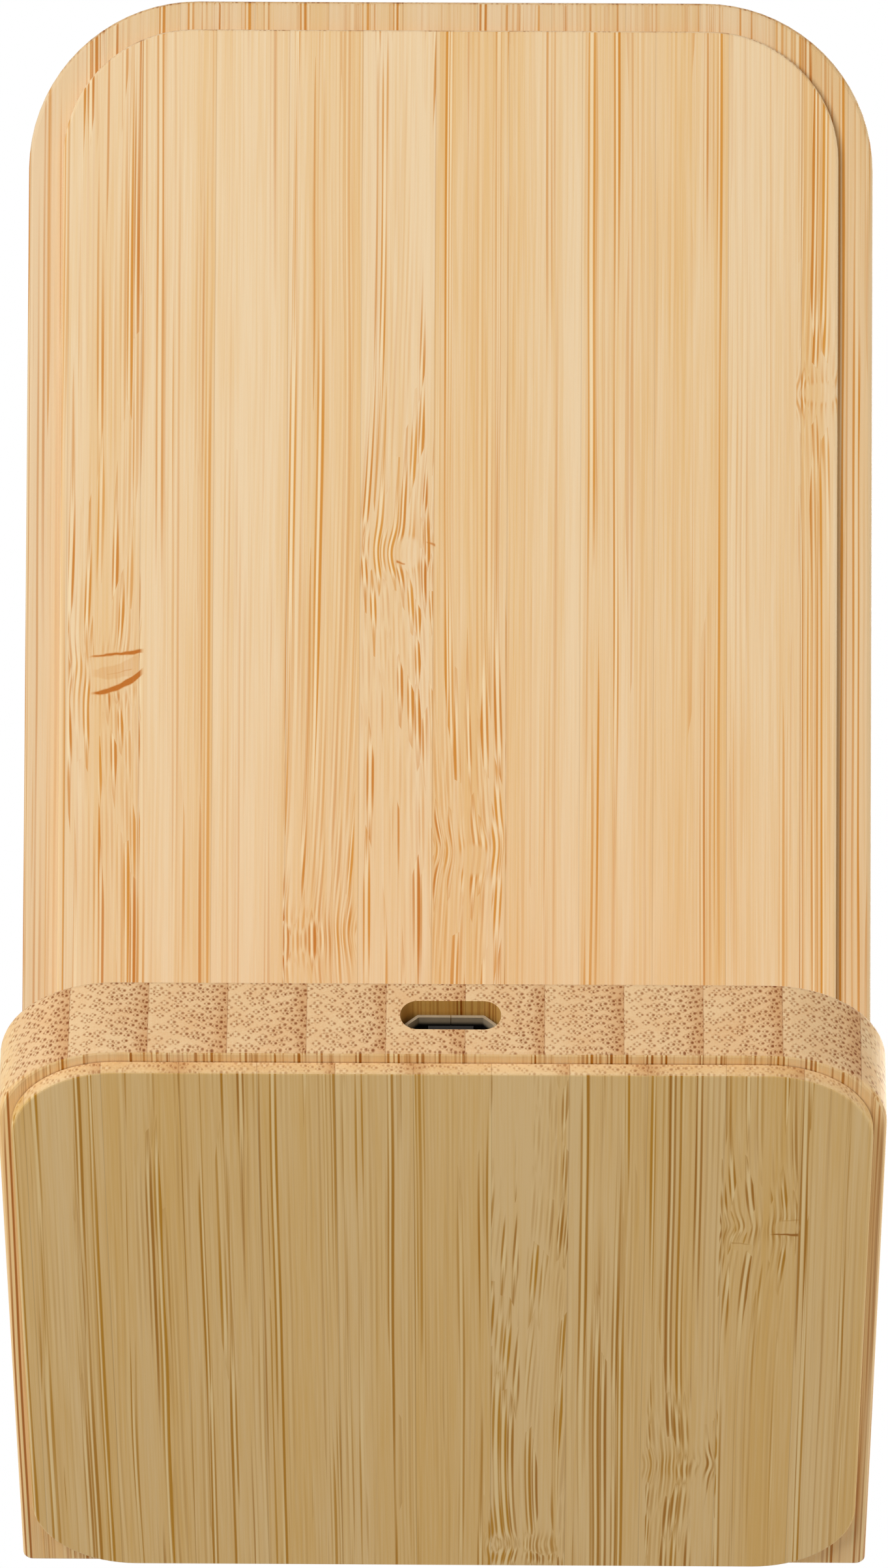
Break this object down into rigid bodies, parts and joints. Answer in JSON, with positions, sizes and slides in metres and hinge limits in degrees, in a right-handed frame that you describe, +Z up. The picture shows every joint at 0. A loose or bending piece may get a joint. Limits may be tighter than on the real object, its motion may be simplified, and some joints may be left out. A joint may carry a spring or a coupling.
{
  "type": "wireless charging stand",
  "caption": "Bamboo desk stand that holds a phone leaning back on a coil panel and charges it, with a USB port in the base.",
  "frame": {"origin": "centre of the bounding box on the surface that the stand rests on", "axes": "+Z up, -Y towards the user and the phone side, +Y towards the rear end with the USB port"},
  "size_m": [0.075, 0.0884, 0.1124],
  "materials": {
    "bamboo": "fine sanded bamboo laminate, matt lacquer",
    "bamboo_cover": "fine sanded bamboo veneer plate, matt lacquer",
    "dowel_wood": "raw turned wood",
    "shell_steel": "tin-plated, dull",
    "black_plastic": "moulded, matt",
    "contact_gold": "gold-plated",
    "circuit_green": "solder mask",
    "capacitor_ceramic": "unglazed",
    "ferrite": "sintered, matt",
    "coil_copper": "enamelled copper litz wire",
    "lead_sleeve": "silk-covered litz wire",
    "foam": "closed-cell foam tape"
  },
  "bodies": {
    "root": {"base_board": "bamboo", "base_cover": "bamboo_cover", "panel_board": "bamboo", "panel_cover": "bamboo_cover", "dowel_left": "dowel_wood", "dowel_right": "dowel_wood", "usb_shell": "shell_steel", "usb_insulator": "black_plastic", "usb_contact_1": "contact_gold", "usb_contact_2": "contact_gold", "usb_contact_3": "contact_gold", "usb_contact_4": "contact_gold", "usb_contact_5": "contact_gold", "main_board": "circuit_green", "board_tape_left": "foam", "board_tape_right": "foam", "controller_chip": "black_plastic", "power_bridge_1": "black_plastic", "power_bridge_2": "black_plastic", "input_inductor": "ferrite", "input_capacitor_1": "capacitor_ceramic", "input_capacitor_2": "capacitor_ceramic", "tank_capacitor_1": "capacitor_ceramic", "tank_capacitor_2": "capacitor_ceramic", "tank_capacitor_3": "capacitor_ceramic", "tank_capacitor_4": "capacitor_ceramic", "lower_coil": "coil_copper", "upper_coil": "coil_copper", "ferrite_plate": "ferrite", "coil_foam": "foam", "lower_coil_lead_left": "lead_sleeve", "lower_coil_lead_right": "lead_sleeve", "upper_coil_lead_left": "lead_sleeve", "upper_coil_lead_right": "lead_sleeve"}
  },
  "joints": []
}
